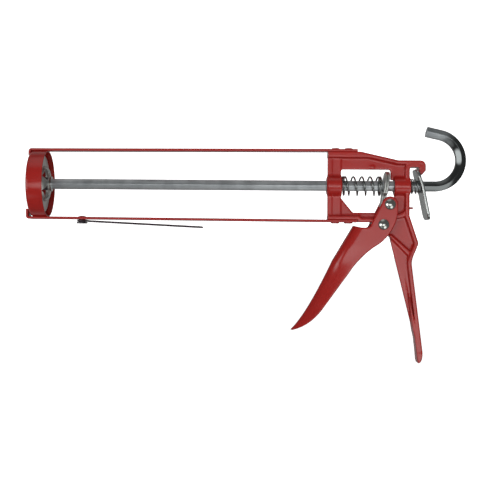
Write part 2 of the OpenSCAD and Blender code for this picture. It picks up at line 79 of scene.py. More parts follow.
VIEW_CENTRE = Vector((0.1694, -0.757, -0.0478))
camera_data = bpy.data.cameras.new("camera")
camera_data.lens = 69.5
camera_data.sensor_width = 36.0
camera = bpy.data.objects.new("camera", camera_data)
camera.location = VIEW_CENTRE
camera.rotation_euler = (radians(90), radians(-0.4), 0)
bpy.context.scene.collection.objects.link(camera)
bpy.context.scene.camera = camera
bpy.context.scene.view_settings.view_transform = "Standard"


# ---------- stations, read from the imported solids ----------

def corners(node):
    low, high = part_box(node)
    return low / MM, high / MM


joint_at = {j["name"]: Vector(j.get("pos_m", (0, 0, 0))) / MM for j in frame["joints"]}

STRAP_T, STRAP_W, STRAP_LAP, STRAP_FLARE = 2.0, 12.0, 23.5, 1.0
POST_W, ARM_H, HOOK_DROP, HOOK_ARM_T, HOOK_WALL_T = 10.8, 14, 6.7, 5.4, 5.2
PUSH_BACK, PUSH_UP = 5.1, 16
ROD_AF, HOOK_R = 8.0, 20.8

strap_high = corners("top_strap")[1]
ring_high = corners("front_ring")[1]
grip_low, casting_high = corners("handle_casting")
seat_z = strap_high.z - STRAP_T
strap_ring_z = seat_z - STRAP_FLARE
strap_end_x = strap_high.x
cast_x = strap_end_x - STRAP_LAP
post_x = cast_x + POST_W
ring_r = ring_high.y
ring_rear_x = ring_high.x
pivot_x, pivot_z = joint_at["trigger_pivot"].x, joint_at["trigger_pivot"].z
push_x, push_z = pivot_x + PUSH_BACK, pivot_z + PUSH_UP
rear_post_x = pivot_x + 20.9
lever_x = rear_post_x + 9.6
bend_x = rear_post_x + 20.6
hook_top_z = seat_z - HOOK_DROP
hook_in_z = hook_top_z - HOOK_ARM_T
hook_out_x = casting_high.x
hook_wall_x = hook_out_x - HOOK_WALL_T
beam_x = strap_end_x + 0.6
beam_low_z = pivot_z + 1.9
window_top_z = seat_z - ARM_H
window_low_z = pivot_z + 9.5
window_rear_x = 285.31
window_step_x, window_step_z = rear_post_x - 11.6, 4.7


# ---------- one way to add a node ----------

def add(tree, kind, inputs=None, **settings):
    """Adds a node, gives it its settings, and fills or links the inputs named."""
    node = tree.nodes.new(kind)
    for key, value in settings.items():
        setattr(node, key, value)
    for socket, value in (inputs or {}).items():
        if isinstance(value, bpy.types.NodeSocket):
            tree.links.new(value, node.inputs[socket])
        else:
            node.inputs[socket].default_value = value
    return node


def linear(hex_colour, alpha=1.0):
    """An sRGB hex colour as the linear values that shaders use."""
    parts = [int(hex_colour[i:i + 2], 16) / 255 for i in (1, 3, 5)]
    return [c / 12.92 if c <= 0.04045 else ((c + 0.055) / 1.055) ** 2.4 for c in parts] + [alpha]


# ---------- materials ----------

def finish_of(name):
    """An empty material: its tree, its surface shader and its object coordinates."""
    material = bpy.data.materials.new(name)
    material.use_nodes = True
    tree = material.node_tree
    return material, tree, tree.nodes["Principled BSDF"], add(tree, "ShaderNodeTexCoord").outputs["Object"]


def red_powder_coat(name, deep, pale, roughness, peel_mm, peel_height_mm):
    """Polyester powder coat: a thick even film of one red, a soft gloss, and a faint orange peel."""
    material, tree, shader, place = finish_of(name)
    drift = add(tree, "ShaderNodeTexNoise", {"Vector": place, "Scale": 1 / 0.03, "Detail": 2.0})
    colour = add(tree, "ShaderNodeValToRGB", {"Fac": drift.outputs["Fac"]})
    colour.color_ramp.elements[0].position = 0.3
    colour.color_ramp.elements[0].color = linear(deep)
    colour.color_ramp.elements[1].position = 0.7
    colour.color_ramp.elements[1].color = linear(pale)
    tree.links.new(colour.outputs["Color"], shader.inputs["Base Color"])
    haze = add(tree, "ShaderNodeTexNoise", {"Vector": place, "Scale": 1 / 0.011, "Detail": 3.0})
    gloss = add(tree, "ShaderNodeMapRange", {
        "Value": haze.outputs["Fac"], "From Min": 0.3, "From Max": 0.7,
        "To Min": roughness - 0.04, "To Max": roughness + 0.05})
    tree.links.new(gloss.outputs["Result"], shader.inputs["Roughness"])
    peel = add(tree, "ShaderNodeTexNoise", {"Vector": place, "Scale": 1 / (peel_mm * MM), "Detail": 1.0})
    bump = add(tree, "ShaderNodeBump", {
        "Height": peel.outputs["Fac"], "Strength": 0.6, "Distance": peel_height_mm * MM})
    tree.links.new(bump.outputs["Normal"], shader.inputs["Normal"])
    shader.inputs["IOR"].default_value = 1.52
    return material


def bare_metal(name, dark, light, roughness, spread, grain_mm, bump_mm):
    """Metal with its working marks: grain_mm is the size of a mark along X, Y and Z."""
    material, tree, shader, place = finish_of(name)
    stretched = add(tree, "ShaderNodeMapping", {
        "Vector": place, "Scale": [1 / (g * MM) for g in grain_mm]})
    marks = add(tree, "ShaderNodeTexNoise", {
        "Vector": stretched.outputs["Vector"], "Scale": 1.0, "Detail": 4.0})
    cloud = add(tree, "ShaderNodeTexNoise", {"Vector": place, "Scale": 1 / 0.009, "Detail": 3.0})
    blend = add(tree, "ShaderNodeMath", {0: marks.outputs["Fac"], 1: cloud.outputs["Fac"]}, operation="ADD")
    half = add(tree, "ShaderNodeMath", {0: blend.outputs[0], 1: 0.5}, operation="MULTIPLY")
    colour = add(tree, "ShaderNodeValToRGB", {"Fac": half.outputs[0]})
    colour.color_ramp.elements[0].position = 0.36
    colour.color_ramp.elements[0].color = linear(dark)
    colour.color_ramp.elements[1].position = 0.62
    colour.color_ramp.elements[1].color = linear(light)
    tree.links.new(colour.outputs["Color"], shader.inputs["Base Color"])
    gloss = add(tree, "ShaderNodeMapRange", {
        "Value": half.outputs[0], "From Min": 0.36, "From Max": 0.62,
        "To Min": roughness + spread, "To Max": roughness - spread})
    tree.links.new(gloss.outputs["Result"], shader.inputs["Roughness"])
    bump = add(tree, "ShaderNodeBump", {
        "Height": marks.outputs["Fac"], "Strength": 0.5, "Distance": bump_mm * MM})
    tree.links.new(bump.outputs["Normal"], shader.inputs["Normal"])
    shader.inputs["Metallic"].default_value = 1.0
    return material


# Powder coat on the zinc die casting: the cast skin gives it a slightly coarser peel
coat_on_casting = red_powder_coat("red_powder_coat_on_die_casting", "#9C201C", "#A62520", 0.17, 1.8, 0.01)
# Powder coat on smooth pressed steel: flatter and glossier
coat_on_steel = red_powder_coat("red_powder_coat_on_pressed_steel", "#9C1F1B", "#A5231E", 0.14, 2.4, 0.006)
# Cold-drawn bar, zinc plated: long fine draw lines, dull silver
drawn_rod = bare_metal("zinc_plated_drawn_steel_bar", "#AEB4B7", "#D2D8DA", 0.42, 0.06,
                       (60, 0.9, 0.9), 0.012)
# The bend is polished: it is smoother, its draw lines fade out behind the rear post, and its base colour is
# painted darker as a painted reflection of the dark room; the draw lines come back at its end, which is
# painted lighter for its highlight
tree, shader = drawn_rod.node_tree, drawn_rod.node_tree.nodes["Principled BSDF"]
where = add(tree, "ShaderNodeTexCoord").outputs["Object"]
rod_place = add(tree, "ShaderNodeSeparateXYZ", {"Vector": where})
polish_and_painted_reflection = add(tree, "ShaderNodeMapRange", {
    "Value": rod_place.outputs["X"], "From Min": 0.306, "From Max": 0.313})
slope = add(tree, "ShaderNodeMath", {0: rod_place.outputs["X"], 1: -0.9, 2: 0.29}, operation="MULTIPLY_ADD")
slope = add(tree, "ShaderNodeMath", {0: slope.outputs[0], 1: rod_place.outputs["Z"]}, operation="ADD")
# Painted highlight: towards the end of the hook the painted dark colour gives way to the rod's lighter one
rise = add(tree, "ShaderNodeMapRange", {
    "Value": slope.outputs[0], "From Min": 0.024, "From Max": 0.034, "To Min": 1.0, "To Max": 0.0})
polish_and_painted_reflection = add(tree, "ShaderNodeMapRange", {
    "Value": add(tree, "ShaderNodeMath", {0: polish_and_painted_reflection.outputs["Result"], 1: rise.outputs["Result"]},
                 operation="MULTIPLY").outputs[0]})
plain = shader.inputs["Base Color"].links[0].from_socket
# Painted dark reflection: the bend's base colour is mixed towards a darker grey
painted_dark_reflection = add(tree, "ShaderNodeMix", {
    "Factor": polish_and_painted_reflection.outputs["Result"], 6: plain, 7: linear("#6A6E6E")}, data_type="RGBA")
tree.links.new(painted_dark_reflection.outputs[2], shader.inputs["Base Color"])
dull = shader.inputs["Roughness"].links[0].from_socket
gloss = add(tree, "ShaderNodeMix", {"Factor": polish_and_painted_reflection.outputs["Result"], 2: dull, 3: 0.1}, data_type="FLOAT")
tree.links.new(gloss.outputs[0], shader.inputs["Roughness"])
bump = shader.inputs["Normal"].links[0].from_node
fade = add(tree, "ShaderNodeMapRange", {"Value": polish_and_painted_reflection.outputs["Result"], "To Min": 0.5, "To Max": 0.04})
tree.links.new(fade.outputs["Result"], bump.inputs["Strength"])
# Stamped and tumbled steel, bright zinc: fine even grain
zinc_steel = bare_metal("bright_zinc_on_stamped_steel", "#A2A7A6", "#C4C8C6", 0.24, 0.05,
                        (1.2, 1.2, 9.0), 0.006)
# The same zinc left dull, on the plunger and the drive plates
dull_zinc = bare_metal("dull_zinc_on_pressed_steel", "#BDC0BC", "#D9DBD7", 0.42, 0.05, (1.2, 1.2, 9.0), 0.006)
# Barrel-plated nickel, nearly a mirror
nickel = bare_metal("nickel_plated_steel", "#B9BBB5", "#D2D4CE", 0.17, 0.03, (1.5, 1.5, 1.5), 0.002)
# Oiled hard-drawn spring wire: dark grey with a soft shine
spring_wire = bare_metal("hard_drawn_spring_wire", "#7C807F", "#A6AAA8", 0.27, 0.05, (2, 0.8, 0.8), 0.006)
# Browned wire of the seal punch: a dull purple grey
brown_wire = bare_metal("browned_steel_wire", "#4A4347", "#6C6268", 0.5, 0.06, (2, 0.8, 0.8), 0.006)
# Blackened steel: almost black with a grey bloom
black_steel = bare_metal("blackened_steel", "#423F42", "#69646A", 0.36, 0.06, (1.5, 1.5, 1.5), 0.008)


# ---------- meshes ----------

def clean(mesh, smooth_deg, repair=True):
    """Joins doubled points and turns the faces outwards, then shades smooth up to an angle."""
    if repair:
        shape = bmesh.new()
        shape.from_mesh(mesh)
        bmesh.ops.remove_doubles(shape, verts=shape.verts, dist=1e-6)
        bmesh.ops.recalc_face_normals(shape, faces=shape.faces)
        shape.to_mesh(mesh)
        shape.free()
    mesh.polygons.foreach_set("use_smooth", [True] * len(mesh.polygons))
    mesh.set_sharp_from_angle(angle=radians(smooth_deg))
    mesh.update()


def piece(name, vertices_mm, faces, material, smooth_deg=38, repair=False):
    """A mesh object at the origin, from points in millimetres."""
    mesh = bpy.data.meshes.new(name)
    mesh.from_pydata([tuple(c * MM for c in v) for v in vertices_mm], [], faces)
    mesh.materials.append(material)
    clean(mesh, smooth_deg, repair)
    thing = bpy.data.objects.new(name, mesh)
    bpy.context.scene.collection.objects.link(thing)
    return thing


def belong(thing, body, slot, *nodes):
    """Puts a finished piece on its body and hides the solids that it stands for. The slot argument is not
    used.
    """
    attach(thing, body)
    if nodes:
        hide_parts(*nodes)
    return thing


# ---------- outlines ----------

def curve(p, q, r, s, n=8):
    """Points of a cubic curve between p and s, steered by q and r."""
    return [tuple((1 - t) ** 3 * a + 3 * (1 - t) ** 2 * t * b + 3 * (1 - t) * t * t * c + t ** 3 * d
                  for a, b, c, d in zip(p, q, r, s)) for t in (i / n for i in range(n + 1))]


def arc(c, r, a0, a1, n=10):
    """Points of an arc round c, angles in degrees."""
    return [(c[0] + r * cos(radians(a0 + (a1 - a0) * i / n)), c[1] + r * sin(radians(a0 + (a1 - a0) * i / n)))
            for i in range(n + 1)]


def shifted(points, dx, dz):
    return [(x + dx, z + dz) for x, z in points]


def shrunk(points, by):
    """An outline moved inwards all round, its corners kept sharp."""
    area = sum(a[0] * b[1] - b[0] * a[1] for a, b in zip(points, points[1:] + points[:1]))
    side = 1 if area > 0 else -1
    moved = []
    for i, p in enumerate(points):
        before, after = Vector(points[i - 1]), Vector(points[(i + 1) % len(points)])
        one, two = (Vector(p) - before).normalized(), (after - Vector(p)).normalized()
        n1, n2 = Vector((-one.y, one.x)) * side, Vector((-two.y, two.x)) * side
        middle = (n1 + n2).normalized()
        moved.append(tuple(Vector(p) + middle * by / max(0.35, middle.dot(n1))))
    return moved


# ---------- solids as distance fields ----------

def samples(low, high, step):
    """Sample coordinates over a box, one open grid for each axis."""
    return np.meshgrid(*[np.arange(a - 2 * step, b + 3 * step, step) for a, b in zip(low, high)],
                       indexing="ij", sparse=True)


def distance(points, u, v):
    """Signed distance to an outline, negative inside."""
    near, inside = None, None
    for (ax, ay), (bx, by) in zip(points, points[1:] + points[:1]):
        ex, ey = bx - ax, by - ay
        length = ex * ex + ey * ey
        if length < 1e-9:
            continue
        wx, wy = u - ax, v - ay
        t = np.clip((wx * ex + wy * ey) / length, 0, 1)
        d = (wx - ex * t) ** 2 + (wy - ey * t) ** 2
        cut = ((ay > v) != (by > v)) & (u < ax + wy * ex / (ey if abs(ey) > 1e-12 else 1e-12))
        near = d if near is None else np.minimum(near, d)
        inside = cut if inside is None else inside ^ cut
    return np.where(inside, -1, 1) * np.sqrt(near)


def rounded(points, r, u, v):
    """Signed distance to an outline whose corners are rounded by r."""
    return distance(shrunk(points, r), u, v) - r


def meet(a, b, r):
    """Common part of two solids, with its edge rounded by r."""
    return np.minimum(-r, np.maximum(a, b)) + np.hypot(np.maximum(r + a, 0), np.maximum(r + b, 0))


def join(a, b, r):
    """Two solids together, with a fillet of radius r where they meet."""
    return np.maximum(r, np.minimum(a, b)) - np.hypot(np.maximum(r - a, 0), np.maximum(r - b, 0))


def slab(t, low, high):
    return np.maximum(low - t, t - high)


def skin(name, field, axes, material, smooth_deg=60):
    """The closed surface round the negative part of a field, one point for each cell that it crosses."""
    start = [float(a.min()) for a in axes]
    step = float(axes[0].ravel()[1] - axes[0].ravel()[0])
    cells = np.array(field.shape) - 1
    total = np.zeros((*cells, 3), np.float32)
    count = np.zeros(cells, np.float32)
    edges = []
    for axis in range(3):
        lo = field[tuple(slice(0, -1) if a == axis else slice(None) for a in range(3))]
        hi = field[tuple(slice(1, None) if a == axis else slice(None) for a in range(3))]
        crossed = (lo < 0) != (hi < 0)
        t = np.where(crossed, lo / np.where(lo == hi, 1, lo - hi), 0)
        edges.append((crossed, lo < 0))
        others = [a for a in range(3) if a != axis]
        for d0 in (0, 1):
            for d1 in (0, 1):
                part = [slice(None)] * 3
                part[others[0]] = slice(d0, d0 + cells[others[0]])
                part[others[1]] = slice(d1, d1 + cells[others[1]])
                here = crossed[tuple(part)]
                total[..., axis] += np.where(here, t[tuple(part)], 0)
                total[..., others[0]] += here * d0
                total[..., others[1]] += here * d1
                count += here
    live = count > 0
    number = np.full(cells, -1, np.int64)
    number[live] = np.arange(int(live.sum()))
    base = np.argwhere(live)
    points = (base + total[live] / count[live][:, None]) * step + np.array(start)
    faces = []
    for axis in range(3):
        crossed, inside = edges[axis]
        one, two = (axis + 1) % 3, (axis + 2) % 3
        at = np.argwhere(crossed)
        at = at[(at[:, one] > 0) & (at[:, two] > 0) & (at[:, one] < cells[one]) & (at[:, two] < cells[two])]
        ring = []
        for d1, d2 in ((1, 1), (0, 1), (0, 0), (1, 0)):
            corner = at.copy()
            corner[:, one] -= d1
            corner[:, two] -= d2
            ring.append(number[corner[:, 0], corner[:, 1], corner[:, 2]])
        quads = np.stack(ring, 1)
        outward = inside[at[:, 0], at[:, 1], at[:, 2]]
        faces.append(np.where(outward[:, None], quads, quads[:, ::-1]))
    return piece(name, points.tolist(), np.concatenate(faces).tolist(), material, smooth_deg)


# ---------- handle casting ----------

RIB_T, STRAP_RIB_T, POST_T = 3.0, 4.6, 4.0
WEB_HALF, RIB_HALF, DRAFT = 1.5, 6.0, 0.06
FOOT_TOP_Z, HOOK_FOOT_Z = pivot_z - 102, hook_in_z - 20
FRONT_BUSH_R, COLLAR_R, REAR_BUSH_R, GUIDE_R = 8.2, 7.0, 7.5, 4.8
BOSS_R, BOSS_HALF = 7.0, 6.7
PEG_R, PEG_Z = 0.9, pivot_z + 13.4

upper_edge = (
    [(cast_x, -seat_z), (cast_x, seat_z), (cast_x + 26, seat_z), (rear_post_x - 9, hook_top_z)]
    + arc((hook_out_x - 4, hook_top_z - 4), 4, 90, 0, 6)
    + [(hook_out_x, hook_in_z - 2.6), (hook_wall_x + 2, hook_in_z - 6.4), (hook_wall_x, hook_in_z - 4.2)]
    + arc((hook_wall_x - 1.2, hook_in_z - 1.2), 1.2, 0, 90, 4)
    + arc((rear_post_x + 1.6, hook_in_z - 1.6), 1.6, 90, 180, 4)
)
grip_edge = (
    [(20.9, 7.1), (28.1, -14.2), (27.8, -16.2)]
    + curve((24, -25.5), (22.8, -28.5), (22.8, -30.5), (23.2, -33.5), 4)
    + curve((32, -101), (32.3, -106), (31.3, -110.2), (28.6, -110.2), 5)
    + [(27.8, -107.6), (27.2, -101), (25.9, -90), (5.6, -9.7)]
    + arc((0, 0), 8.4, -70, -160, 6)
)
casting_outline = (
    upper_edge + shifted(grip_edge, pivot_x, pivot_z)
    + [(pivot_x - 9, beam_low_z), (beam_x, beam_low_z), (beam_x, -seat_z)]
)
casting_window = [
    (post_x, window_top_z), (window_rear_x, window_top_z), (window_rear_x, window_step_z),
    (window_step_x, window_step_z), (window_step_x, window_low_z),
    (post_x + 9.5, window_low_z), (post_x, window_low_z + 11.5),
]
grip_front_mask = [
    (pivot_x - 6, pivot_z - 2), (pivot_x + 13, pivot_z + 1), (pivot_x + 18.4, pivot_z - 40),
    (pivot_x + 26, pivot_z - 96), (pivot_x, pivot_z - 96),
]
grip_diagonal = shifted([(4.4, -8.4), (7, -8.4), (24.4, -23.6), (24.4, -26.3), (22, -26.3)], pivot_x, pivot_z)
grip_arch = shifted(curve((2, 9.2), (10, 7.6), (14, 7.6), (18.4, 12), 6)
                    + curve((20, 8.5), (15, 4.6), (10, 4.6), (2, 6.4), 6), pivot_x, pivot_z)


def casting_field(x, y, z):
    depth = np.abs(y)
    across = np.sqrt(y * y + z * z)
    outline = distance(casting_outline, x, z)
    web = meet(outline, depth - WEB_HALF, 0.5)
    edge = np.maximum(-(outline + RIB_T), -distance(grip_front_mask, x, z))
    flat_post = np.maximum(slab(x, cast_x - 2, cast_x + RIB_T + 0.5),
                           slab(z, RIB_T - seat_z, seat_z - STRAP_RIB_T))
    strap_rib = np.maximum(slab(x, cast_x - 2, strap_end_x + 10), seat_z - STRAP_RIB_T - z)
    edge = np.minimum(np.maximum(edge, -flat_post), strap_rib)
    draft = DRAFT * (RIB_HALF - depth)
    rim = meet(meet(outline, edge - draft, 0.4), depth - RIB_HALF, 0.5)
    foot = meet(meet(outline, z - FOOT_TOP_Z, 0.8), depth - RIB_HALF, 0.9)
    hook = meet(meet(outline, slab(x, rear_post_x - RIB_T, 400) + 0 * z, 0.5), depth - RIB_HALF, 0.7)
    hook = meet(hook, HOOK_FOOT_Z - z, 0.5)
    groove = np.maximum(np.abs(outline + 3.3) - 0.7, 3.5 - z)
    groove = np.maximum(groove, rear_post_x - 1 - x)
    hook = meet(hook, -np.maximum(groove, RIB_HALF - 0.9 - depth), 0.3)
    block = join(join(rim, foot, 1.2), hook, 1.2)
    block = meet(np.maximum(block, outline), depth - RIB_HALF, 0.4)
    ribs = np.minimum(distance(grip_diagonal, x, z), distance(grip_arch, x, z)) - draft * 0.5
    ribs = meet(meet(outline, ribs, 0.4), depth - RIB_HALF + 1.5, 0.5)
    post = meet(outline, np.maximum(slab(x, cast_x - 2, post_x), depth - POST_T / 2), 0.6)
    solid = join(join(web, block, 1.1), ribs, 1.0)
    solid = np.maximum(join(solid, post, 0.5), outline)
    window = rounded(casting_window, 1.6, x, z)
    solid = meet(solid, -window, 0.6)
    front_bush = meet(across - FRONT_BUSH_R, slab(x, cast_x, post_x + 0.4), 0.6)
    collar = meet(across - COLLAR_R, slab(x, cast_x - 0.8, cast_x + 3), 0.4)
    rear_bush = meet(across - REAR_BUSH_R, slab(x, rear_post_x - 12, rear_post_x + 0.9), 0.6)
    solid = join(solid, np.minimum(front_bush, collar), 0.8)
    solid = join(solid, rear_bush, 0.8)
    from_pivot = np.hypot(x - pivot_x, z - pivot_z)
    solid = join(solid, meet(from_pivot - BOSS_R, depth - BOSS_HALF, 0.4), 0.8)
    peg = meet(np.sqrt(y * y + (z - PEG_Z) ** 2) - PEG_R, slab(x, rear_post_x - 1, rear_post_x + 3.7), 0.3)
    solid = np.minimum(solid, peg)
    mark = np.hypot((x - 270.5) / 1.3, z - 15.0) - 1.6
    solid = join(solid, meet(mark, depth - WEB_HALF - 0.5, 0.3), 0.4)
    bore = np.maximum(across - GUIDE_R, slab(x, cast_x - 2, rear_post_x + 2))
    return meet(solid, -bore, 0.4)


axes = samples((cast_x - 1, -FRONT_BUSH_R, grip_low.z),
               (hook_out_x + 0.5, FRONT_BUSH_R, seat_z + 0.5), 0.55)
casting = skin("handle_casting_skin", casting_field(*axes), axes, coat_on_casting)
belong(casting, "gun_frame", "red_casting", "handle_casting")


# ---------- trigger ----------

SHEET_T = 1.5
TRIGGER_HALF = 8.5
BLADE_DEPTH = 20.0
front_line = curve((-73.4, -84.4), (-61.3, -73), (-47.6, -44.5), (-40, -28.5), 10) + [(-23.6, -1)]
back_line = (
    [(-17.6, -2.5), (-12.8, -2.5)]
    + curve((-12.8, -2.5), (-10.6, -2.5), (-10, -0.6), (-9.2, 1.6), 3)
    + arc((5.1, 16), 6.4, 155, 0, 10)
    + curve((11.5, 13), (11.6, 1), (4.5, -10), (-3.6, -15.7), 8)
    + curve((-3.6, -15.7), (-11.5, -20), (-22.5, -30.5), (-27.3, -38.9), 6)
    + curve((-46, -65), (-52, -74), (-60, -81.5), (-71.5, -84.6), 8)
)
trigger_outline = shifted(front_line + back_line, pivot_x, pivot_z)
behind_front = shifted([(-78, -92)] + front_line + [(-23.6, 60), (200, 60), (200, -200), (-78, -200)],
                       pivot_x, pivot_z)


def trigger_field(x, y, z):
    depth = np.abs(y)
    outline = distance(trigger_outline, x, z)
    front = distance(behind_front, x, z)
    channel = meet(front, depth - TRIGGER_HALF, 7.4)
    u, v = np.maximum(front + BLADE_DEPTH, 0) / BLADE_DEPTH, depth / TRIGGER_HALF
    size = np.hypot(u, v) + 1e-6
    blade = (size - 1) * size / (np.hypot(u / BLADE_DEPTH, v / TRIGGER_HALF) + 1e-6)
    share = np.clip((pivot_z - 16 - z) / 24, 0, 1)
    share = share * share * (3 - 2 * share)
    outer = channel + (blade - channel) * share
    shell = np.maximum(outer, -(outer + SHEET_T))
    shell = meet(shell, outline, 0.35)
    for bx, bz, r in ((pivot_x, pivot_z, 3.05), (push_x, push_z, 3.0)):
        shell = np.maximum(shell, r - np.hypot(x - bx, z - bz))
    return shell


trigger_low, trigger_high = corners("trigger")
axes = samples(trigger_low, trigger_high, 0.5)
trigger = skin("trigger_skin", trigger_field(*axes), axes, coat_on_steel)
belong(trigger, "trigger_arm", "red_sheet", "trigger")


# ---------- release lever and drive plates ----------

def hexagon(af, u, v):
    """Signed distance to a hexagon with flats above and below, size across its flats."""
    slant = np.abs(u) * cos(radians(30)) + np.abs(v) * 0.5
    return np.maximum(np.abs(v), slant) - af / 2


LEVER_T = 2.3
lean_top, lean_low = radians(19), radians(11.5)
half_top, half_low = LEVER_T / 2 / cos(lean_top), LEVER_T / 2 / cos(lean_low)
half_mid = (half_top + half_low) / 2
lever_top, lever_drop = hook_in_z - 1.6, 26.8
lever_up, lever_down = lever_top + 4, lever_drop + 4
lever_top_x = lever_x - lever_up * tan(lean_top)
lever_low_x = lever_x + lever_down * tan(lean_low)
lever_side = [
    (lever_top_x - half_top, lever_up), (lever_top_x + half_top, lever_up), (lever_x + half_mid, 0),
    (lever_low_x + half_low, -lever_down), (lever_low_x - half_low, -lever_down), (lever_x - half_mid, 0),
]
lever_face = [(-9, lever_top), (9, lever_top), (11, lever_top - 6), (11, -lever_drop), (-11, -lever_drop),
              (-11, lever_top - 6)]


def lever_field(x, y, z):
    solid = meet(distance(lever_side, x, z), rounded(lever_face, 5.5, y, z), 0.75)
    return meet(solid, -hexagon(ROD_AF + 0.9, y, z), 0.3)


low, high = corners("release_lever")
axes = samples(low, high, 0.35)
lever = skin("release_lever_skin", lever_field(*axes), axes, zinc_steel)
belong(lever, "brake", "zinc_plate", "release_lever")

PLATE_T = 1.75
plate_x = 282.95
tilt = radians(8)
plate_top, plate_shoulder, plate_low = 11.5, -6.6, -17.2
plate_face = (
    arc((0, plate_top - 10), 10, 0, 180, 20)
    + [(-10, plate_shoulder), (-5, plate_shoulder - 1.5), (-5, plate_low), (5, plate_low),
       (5, plate_shoulder - 1.5), (10, plate_shoulder)]
)


def plate_field(x, y, z, place):
    along_x = (x - plate_x) * cos(tilt) - z * sin(tilt)
    along_z = (x - plate_x) * sin(tilt) + z * cos(tilt)
    face = rounded(plate_face, 1.0, y + 0 * along_z, along_z)
    solid = meet(face, slab(along_x, -(place + 1) * PLATE_T + 0.03, -place * PLATE_T - 0.03), 0.35)
    return meet(solid, -hexagon(ROD_AF + 0.4, y, z), 0.2)


for place, node in enumerate(("drive_plate_rear", "drive_plate_front")):
    low, high = corners(node)
    axes = samples(low, high, 0.35)
    plate = skin(node + "_skin", plate_field(*axes, place), axes, dull_zinc)
    belong(plate, "drive_plates", "zinc_plate", node)


# ---------- turned and pressed round pieces ----------

def lathe(name, profile, centre, axis, material, steps=96, smooth_deg=35, closed=False):
    """A round piece about an axis: the profile gives radius and distance along it, in millimetres.
    An open profile starts and ends on the axis."""
    axis = Vector(axis)
    turn = Vector((1, 0, 0)).rotation_difference(axis)
    loops, points = [], []
    for r, a in profile:
        if r < 1e-6:
            loops.append([len(points)])
            points.append(Vector((a, 0, 0)))
        else:
            loops.append(list(range(len(points), len(points) + steps)))
            points += [Vector((a, r * cos(2 * pi * i / steps), r * sin(2 * pi * i / steps)))
                       for i in range(steps)]
    pairs = list(zip(loops, loops[1:])) + ([(loops[-1], loops[0])] if closed else [])
    faces = []
    for one, two in pairs:
        for i in range(steps):
            k = (i + 1) % steps
            face = [one[i % len(one)], one[k % len(one)], two[k % len(two)], two[i % len(two)]]
            face = list(dict.fromkeys(face))
            if len(face) > 2:
                faces.append(face)
    points = [tuple(turn @ p + Vector(centre)) for p in points]
    return piece(name, points, faces, material, smooth_deg, repair=True)


def pan(d, h, rim=0.3, n=5):
    """Profile of a flat rivet head: a flat top, a rounded edge and a short straight rim."""
    r, edge = d / 2, h - rim
    return [(0, h)] + [(r - edge + edge * sin(pi / 2 * i / n), rim + edge * cos(pi / 2 * i / n))
                       for i in range(n + 1)] + [(r, 0)]


def domed(d, h, rim=0.35, n=8):
    """Profile of a rivet head: a short straight rim, a rounded edge and a crown."""
    r = d / 2
    ball = (r * r + (h - rim) ** 2) / (2 * (h - rim))
    rise = asin(r / ball)
    crown = [(ball * sin(rise * i / n), ball * cos(rise * i / n) - ball + h) for i in range(n + 1)]
    return [(0, crown[0][1])] + crown[1:-1] + [(r - 0.08, rim + 0.1), (r, rim - 0.1), (r, 0)]


RING_WALL, RING_PLATE = 1.0, 1.2
ring_profile = (
    [(19.3, -RING_PLATE), (19.0, -RING_PLATE + 0.3), (19.0, -0.3), (19.3, 0)]
    + [(ring_r - RING_WALL - 0.8, 0), (ring_r - RING_WALL - 0.24, 0.24), (ring_r - RING_WALL, 0.8)]
    + [(ring_r - RING_WALL, ring_rear_x - 0.25), (ring_r - RING_WALL + 0.25, ring_rear_x)]
    + [(ring_r - 0.3, ring_rear_x), (ring_r, ring_rear_x - 0.3)]
    + [(r, -a) for a, r in arc((RING_PLATE - 2.4, ring_r - 2.4), 2.4, 90, 0, 8)]
)
ring = lathe("front_ring_skin", ring_profile, (0, 0, 0), (1, 0, 0), coat_on_steel, 160, closed=True)
for v in ring.data.vertices:
    v.co.z = max(-strap_ring_z * MM, min(strap_ring_z * MM, v.co.z))
belong(ring, "gun_frame", "red_sheet", "front_ring")

HEAD_D, HEAD_H, PIN_R = 8.8, 2.4, 3.0
for name, body, node, x, z, gap in (
        ("trigger_pivot_pin_skin", "gun_frame", "trigger_pivot_pin", pivot_x, pivot_z, 0.1),
        ("trigger_push_pin_skin", "trigger_arm", "trigger_push_pin", push_x, push_z, 0.0)):
    reach = TRIGGER_HALF + gap
    head = domed(HEAD_D, HEAD_H)
    profile = ([(r, reach + a) for r, a in head] + [(PIN_R, reach)] + [(PIN_R, -reach)]
               + [(r, -reach - a) for r, a in reversed(head)])
    pin = lathe(name, profile, (x, 0, z), (0, 1, 0), nickel, 64)
    belong(pin, body, "nickel_pin", node)


# ---------- pieces swept along a path ----------

def geometry_tree(name, sizes):
    """A geometry tree with a geometry input, one number input for each size, and a material input."""
    tree = bpy.data.node_groups.new(name, "GeometryNodeTree")
    tree.interface.new_socket("Geometry", in_out="INPUT", socket_type="NodeSocketGeometry")
    for size in sizes:
        tree.interface.new_socket(size, in_out="INPUT", socket_type="NodeSocketFloat")
    tree.interface.new_socket("Finish", in_out="INPUT", socket_type="NodeSocketMaterial")
    tree.interface.new_socket("Geometry", in_out="OUTPUT", socket_type="NodeSocketGeometry")
    return tree, add(tree, "NodeGroupInput")


def close_tree(tree, source, given):
    real = add(tree, "GeometryNodeRealizeInstances", {"Geometry": source})
    done = add(tree, "GeometryNodeSetMaterial", {
        "Geometry": real.outputs[0], "Material": given.outputs["Finish"]})
    add(tree, "NodeGroupOutput", {0: done.outputs[0]})
    return tree


def swept_tree(name, sizes, profile_of):
    """A section carried along a line of points, its own X axis kept across the gun."""
    tree, given = geometry_tree(name, sizes)
    line = add(tree, "GeometryNodeMeshToCurve", {"Mesh": given.outputs["Geometry"]})
    upright = add(tree, "GeometryNodeSetCurveNormal", {"Curve": line.outputs[0]}, mode="FREE")
    upright.inputs["Normal"].default_value = (0, 1, 0)
    taper = add(tree, "GeometryNodeInputNamedAttribute", {"Name": "taper"}, data_type="FLOAT")
    swept = add(tree, "GeometryNodeCurveToMesh", {
        "Curve": upright.outputs[0], "Profile Curve": profile_of(tree, given),
        "Scale": taper.outputs[0], "Fill Caps": True})
    return close_tree(tree, swept.outputs[0], given)


